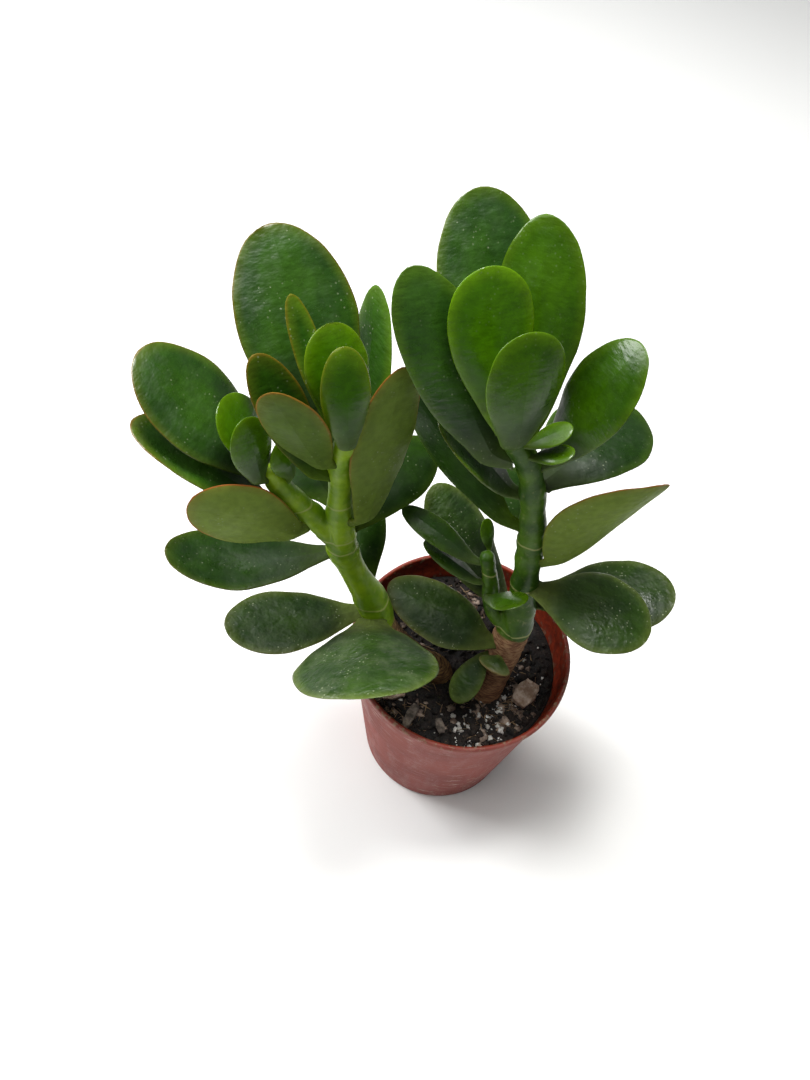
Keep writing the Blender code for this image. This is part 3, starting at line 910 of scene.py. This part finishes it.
def pot_plastic():
    """Dusty terracotta-coloured plastic, scuffed outside and glossier and redder inside."""
    made, tree, shader = principled("terracotta plastic")
    here = place_of(tree)
    clouds = grainy(tree, here, 45, 4)
    fine = grainy(tree, here, 380, 4, 0.6)
    flow = grainy(tree, place_of(tree, (1, 1, 0.25)), 150, 5, 0.7)
    scuffs = grainy(tree, place_of(tree, (1.0, 0.6, 4.0)), 120, 5, 0.75)
    worn = grainy(tree, here, 22, 2)
    faded = between(tree, clouds, 0.35, 0.65)
    colour = mixed(tree, faded, (0.270, 0.064, 0.050, 1), (0.200, 0.042, 0.032, 1))
    chalk = maths(tree, "MULTIPLY", between(tree, flow, 0.42, 0.75), 0.16)
    colour = mixed(tree, chalk, colour, (0.42, 0.225, 0.195, 1))
    worn = between(tree, worn, 0.42, 0.60, 0.15, 0.8)
    scratch = maths(tree, "MULTIPLY", between(tree, scuffs, 0.55, 0.66), worn)
    colour = mixed(tree, scratch, colour, (0.55, 0.40, 0.35, 1))
    inward = told(tree, "inside")
    speckled = between(tree, fine, 0.35, 0.7)
    inner = mixed(tree, speckled, (0.200, 0.026, 0.010, 1), (0.095, 0.012, 0.006, 1))
    colour = mixed(tree, inward, colour, inner)
    splash = maths(tree, "MULTIPLY", between(tree, fine, 0.52, 0.66), told(tree, "soiled"))
    colour = mixed(tree, splash, colour, (0.26, 0.17, 0.11, 1))
    put(tree, shader.inputs["Base Color"], colour)
    rough = between(tree, flow, 0.3, 0.7, 0.42, 0.68)
    shader.inputs["Specular IOR Level"].default_value = 0.15
    rough = maths(tree, "SUBTRACT", rough, maths(tree, "MULTIPLY", inward, 0.14))
    put(tree, shader.inputs["Roughness"], rough)
    put(tree, shader.inputs["Normal"], bumped(tree, maths(tree, "ADD", fine, scuffs), 0.00018))
    return made


def earth(name, dark, light, pale_share):
    """Crumbly matter: two colours broken up by grain, with a few pale bits."""
    made, tree, shader = principled(name)
    here = place_of(tree)
    coarse = grainy(tree, here, 240, 5, 0.65)
    fine = grainy(tree, here, 1100, 4, 0.6)
    colour = mixed(tree, between(tree, coarse, 0.38, 0.66), dark, light)
    colour = mixed(tree, between(tree, fine, 0.62, 0.72, 0.0, pale_share), colour, (0.22, 0.15, 0.09, 1))
    put(tree, shader.inputs["Base Color"], colour)
    put(tree, shader.inputs["Roughness"], between(tree, fine, 0.3, 0.7, 0.75, 1.0))
    put(tree, shader.inputs["Normal"], bumped(tree, maths(tree, "ADD", coarse, fine), 0.0006))
    return made


# ---- how each leaf looks ------------------------------------------------------
# name: (finish, tint from dark -1 to light 1, red on the rim 0..1, dust 0..1, paleness beneath 0..1)
# The tint is partly each leaf's own tone, partly painted shade and painted light.
LEAF_LOOKS = {
    "left_crown_back": ("mature", 0.1, 0.35, 0.1, 0.5),
    "left_crown_left": ("matt", -0.2, 0.35, 0.0, 0.5),
    "left_crown_back_slim": ("matt", 0.7, 0.25, 0.0, 1.0),
    "left_crown_inner_back": ("young", 0.4, 0.1, 0.0, 0.1),
    "left_crown_inner_front": ("young", -0.1, 0.2, 0.0, 0.0),
    "left_crown_right_upright": ("matt", 0.1, 0.0, 0.0, 0.2),
    "left_crown_front_left": ("matt", 0.1, 0.6, 0.0, 0.5),
    "left_crown_right_big": ("matt", 0.1, 0.8, 0.0, 0.8),
    "left_fork_right": ("matt", -1.2, 0.0, 0.0, 0.0),
    "left_fork_back": ("matt", -0.8, 0.0, 0.2, 0.0),
    "branch_back_left": ("mature", -0.2, 0.4, 0.1, 0.5),
    "branch_left_folded": ("mature", 0.0, 0.5, 0.1, 0.4),
    "branch_inner_back": ("young", -0.1, 0.0, 0.0, 0.1),
    "branch_inner_front": ("young", -0.3, 0.0, 0.0, 0.0),
    "branch_right": ("young", 0.2, 0.0, 0.0, 0.1),
    "branch_front": ("matt", 0.3, 1.0, 0.0, 1.0),
    "left_low_side": ("mature", -0.3, 0.2, 0.2, 0.4),
    "left_bottom_back": ("matt", -0.8, 0.0, 0.2, 0.2),
    "left_bottom_side": ("dusty", 0.0, 0.1, 0.4, 0.6),
    "left_bottom_front": ("dusty", 0.1, 0.0, 0.7, 0.6),
    "middle_front": ("dusty", 0.0, 0.3, 0.5, 0.5),
    "middle_back_upright": ("dusty", 0.0, 0.0, 0.6, 0.5),
    "soil_droop": ("dusty", 0.0, 0.0, 0.5, 0.5),
    "scar_stub": ("dusty", 0.3, 0.5, 0.6, 0.5),
    "shoot_upper_left": ("mature", -0.2, 0.0, 0.1, 0.5),
    "shoot_lower_left": ("mature", -0.2, 0.0, 0.1, 0.5),
    "shoot_inner": ("young", 0.0, 0.0, 0.0, 0.5),
    "shoot_right_disc": ("young", -0.6, 0.0, 0.1, 0.5),
    "right_crown_back": ("mature", 0.1, 0.1, 0.1, 0.5),
    "right_crown_right": ("young", -0.55, 0.0, 0.0, 0.5),
    "right_crown_left": ("mature", 0.0, 0.0, 0.0, 0.5),
    "right_crown_inner_back": ("young", 0.8, 0.0, 0.0, 0.5),
    "right_crown_inner_front": ("young", -0.3, 0.0, 0.0, 0.0),
    "right_crown_upper_right": ("young", -0.8, 0.0, 0.0, 0.5),
    "right_crown_dark_right": ("mature", -0.9, 0.0, 0.1, 0.0),
    "right_shoot_crescent_upper": ("young", -0.7, 0.0, 0.0, 0.5),
    "right_shoot_crescent_lower": ("young", -0.7, 0.0, 0.0, 0.5),
    "right_mid_left": ("matt", -0.6, 0.0, 0.0, 0.0),
    "right_mid_left_upper": ("mature", -0.2, 0.1, 0.1, 0.5),
    "right_mid_right": ("matt", 0.2, 0.9, 0.4, 1.0),
    "right_mid_back": ("matt", -0.9, 0.0, 0.2, 0.0),
    "right_low_front": ("dusty", -0.2, 0.0, 0.2, 0.5),
    "right_low_back": ("dusty", -0.7, 0.0, 0.3, 0.5),
}
MATURE = {
    "Face": (0.030, 0.090, 0.006, 1), "Deep": (0.015, 0.052, 0.005, 1),
    "Fresh": (0.110, 0.200, 0.008, 1), "Under": (0.150, 0.200, 0.024, 1),
    "Rim": (0.290, 0.060, 0.014, 1), "Pores": 0.3,
    "Ripple": 0.65, "Shade": 0.5, "Gloss": 0.22, "Haze": 0.40,
}
MATT = {
    "Face": (0.026, 0.082, 0.003, 1), "Deep": (0.013, 0.048, 0.002, 1),
    "Fresh": (0.110, 0.200, 0.008, 1), "Under": (0.140, 0.205, 0.030, 1),
    "Rim": (0.330, 0.070, 0.014, 1), "Pores": 0.3,
    "Ripple": 0.6, "Shade": 0.25, "Gloss": 0.38, "Haze": 0.60,
}
YOUNG = {
    "Face": (0.050, 0.138, 0.001, 1), "Deep": (0.028, 0.088, 0.001, 1),
    "Fresh": (0.130, 0.240, 0.004, 1), "Under": (0.090, 0.170, 0.004, 1),
    "Rim": (0.240, 0.070, 0.018, 1), "Pores": 0.1,
    "Ripple": 0.35, "Shade": 0.5, "Gloss": 0.17, "Haze": 0.30,
}
DUSTY = {
    "Face": (0.027, 0.062, 0.006, 1), "Deep": (0.013, 0.036, 0.004, 1),
    "Fresh": (0.160, 0.205, 0.035, 1), "Under": (0.110, 0.150, 0.030, 1),
    "Rim": (0.210, 0.075, 0.030, 1), "Pores": 0.55,
    "Ripple": 1.7, "Shade": 0.15, "Gloss": 0.30, "Haze": 0.55,
}
GREEN_STEM = {
    "Green": (0.250, 0.400, 0.008, 1), "Dark green": (0.120, 0.235, 0.004, 1),
    "Scar": (0.400, 0.440, 0.140, 1), "Bark": (0.300, 0.185, 0.075, 1),
    "Dark bark": (0.080, 0.036, 0.016, 1),
}
# The right stem's greens are darker: partly its own older colour, partly painted shade among the leaves.
OLD_SHADED_STEM = {
    "Green": (0.060, 0.135, 0.004, 1), "Dark green": (0.022, 0.066, 0.003, 1),
    "Scar": (0.360, 0.370, 0.140, 1), "Bark": (0.380, 0.215, 0.110, 1),
    "Dark bark": (0.140, 0.062, 0.032, 1),
}


def all_materials():
    """Every material by name."""
    leaf, stem = leaf_skin(), stem_skin()
    return {
        "mature": skinned("mature leaf", leaf, MATURE, 0.45),
        "young": skinned("young leaf", leaf, YOUNG, 0.32),
        "matt": skinned("matt leaf", leaf, MATT, 0.1),
        "dusty": skinned("dusty old leaf", leaf, DUSTY, 0.3),
        "green stem": skinned("green stem", stem, GREEN_STEM, 0.25),
        "old shaded stem": skinned("bark and green stem", stem, OLD_SHADED_STEM, 0.2),
        "pot": pot_plastic(),
        "soil": earth("potting soil", (0.002, 0.0012, 0.001, 1), (0.012, 0.006, 0.004, 1), 0.2),
        "crumb": earth("soil crumbs", (0.002, 0.0012, 0.001, 1), (0.020, 0.011, 0.007, 1), 0.5),
        "perlite": earth("perlite", (0.42, 0.40, 0.37, 1), (0.75, 0.73, 0.70, 1), 0.1),
        "fibre": earth("coarse fibre", (0.11, 0.065, 0.035, 1), (0.30, 0.20, 0.11, 1), 0.4),
        "chip": earth("bark chip", (0.24, 0.155, 0.110, 1), (0.52, 0.40, 0.32, 1), 0.3),
        "flake": earth("bark flakes", (0.06, 0.036, 0.025, 1), (0.33, 0.25, 0.20, 1), 0.4),
        "dry leaf": earth("dry leaf", (0.045, 0.035, 0.028, 1), (0.20, 0.16, 0.13, 1), 0.4),
    }


# ---- camera, light and floor --------------------------------------------------
def make_camera():
    """A camera above and in front of the plant, tilted a little."""
    pitch, roll = math.radians(CAMERA_PITCH), math.radians(CAMERA_ROLL)
    ahead = Vector((0, math.cos(pitch), -math.sin(pitch)))
    level, rise = Vector((1, 0, 0)), Vector((0, math.sin(pitch), math.cos(pitch)))
    right = level * math.cos(roll) + rise * math.sin(roll)
    up = rise * math.cos(roll) - level * math.sin(roll)
    lens = bpy.data.cameras.new("camera")
    lens.lens = LENS
    lens.sensor_width = SENSOR
    lens.clip_start = 0.01
    camera = bpy.data.objects.new("camera", lens)
    bpy.context.collection.objects.link(camera)
    turn = Matrix((right, up, -ahead)).transposed().to_4x4()
    camera.matrix_world = Matrix.Translation(CAMERA_PLACE) @ turn
    bpy.context.scene.camera = camera


def soft_light(name, place, size, power, tint):
    """A square soft box aimed at the plant."""
    lamp = bpy.data.lights.new(name, "AREA")
    lamp.shape = "SQUARE"
    lamp.size = size
    lamp.energy = power
    lamp.color = tint
    obj = bpy.data.objects.new(name, lamp)
    bpy.context.collection.objects.link(obj)
    obj.location = place
    obj.rotation_euler = (LIGHT_AIM - Vector(place)).to_track_quat("-Z", "Y").to_euler()


def make_light():
    """Three soft boxes in a dim, even surround."""
    soft_light("broad sky", (-0.30, 0.10, 1.25), 1.4, 13.5, (1.0, 0.995, 0.97))
    soft_light("overhead", (-0.03, 0.20, 1.1), 0.28, 8.0, (1.0, 1.0, 0.98))
    soft_light("window", (-0.95, 0.25, 0.85), 0.5, 13.0, (0.98, 0.99, 1.0))
    world = bpy.data.worlds.new("soft surround")
    world.use_nodes = True
    sky = world.node_tree.nodes["Background"]
    sky.inputs["Color"].default_value = (0.95, 0.97, 1.0, 1)
    sky.inputs["Strength"].default_value = 0.12
    bpy.context.scene.world = world
    bpy.context.scene.view_settings.view_transform = "Standard"


def make_floor():
    """A plain pale floor, large enough for every view."""
    bm = bmesh.new()
    corners = [bm.verts.new((x, y, 0)) for x, y in ((-6, -6), (6, -6), (6, 6), (-6, 6))]
    bm.faces.new(corners)
    data = bpy.data.meshes.new("floor")
    bm.to_mesh(data)
    bm.free()
    made, tree, shader = principled("pale floor")
    grain = grainy(tree, place_of(tree), 3, 2)
    colour = mixed(tree, grain, (0.88, 0.88, 0.87, 1), (0.92, 0.92, 0.91, 1))
    put(tree, shader.inputs["Base Color"], colour)
    shader.inputs["Roughness"].default_value = 0.9
    data.materials.append(made)
    floor = bpy.data.objects.new("floor", data)
    bpy.context.collection.objects.link(floor)


# ---- the plant ------------------------------------------------------------------
def names_starting(*starts):
    """The leaves whose names start so."""
    return [name for name in LEAF_LOOKS if name.startswith(starts)]


MATERIALS = all_materials()
for leaf_name, leaf_look in LEAF_LOOKS.items():
    build_leaf(leaf_name, leaf_look)
right_leaves = names_starting("right_", "middle_", "shoot_", "soil_", "scar_")
left_leaves = names_starting("left_", "branch_")
right_stem = build_stem(
    "right_stem", (RIGHT_STEM, SIDE_SHOOT), right_leaves, RIGHT_SCARS, MATERIALS["old shaded stem"])
left_stem = build_stem(
    "left_stem", (LEFT_STEM, LEFT_BRANCH), left_leaves, LEFT_SCARS, MATERIALS["green stem"])
build_pot()
ground = build_soil()
build_grains("soil_crumbs", 900, (0.35, 1.9), 0.7, 0.9, MATERIALS["crumb"], ground)
build_grains("perlite_grains", 190, (0.2, 1.3), 1.1, 0.7, MATERIALS["perlite"], ground, PERLITE_HEAPS)
build_grains("bark_flakes", 150, (0.5, 2.8), 0.9, 0.25, MATERIALS["flake"], ground, FLAKE_HEAPS)
build_fibres(*ground)
for chip_name in ("bark_chip_left", "bark_chip_right"):
    build_flake(chip_name, MATERIALS["chip"], 0.35)
for dry_name in ("dry_leaf_curl", "dry_leaf_flake"):
    build_flake(dry_name, MATERIALS["dry leaf"], 0.15)
make_floor()
make_light()
make_camera()
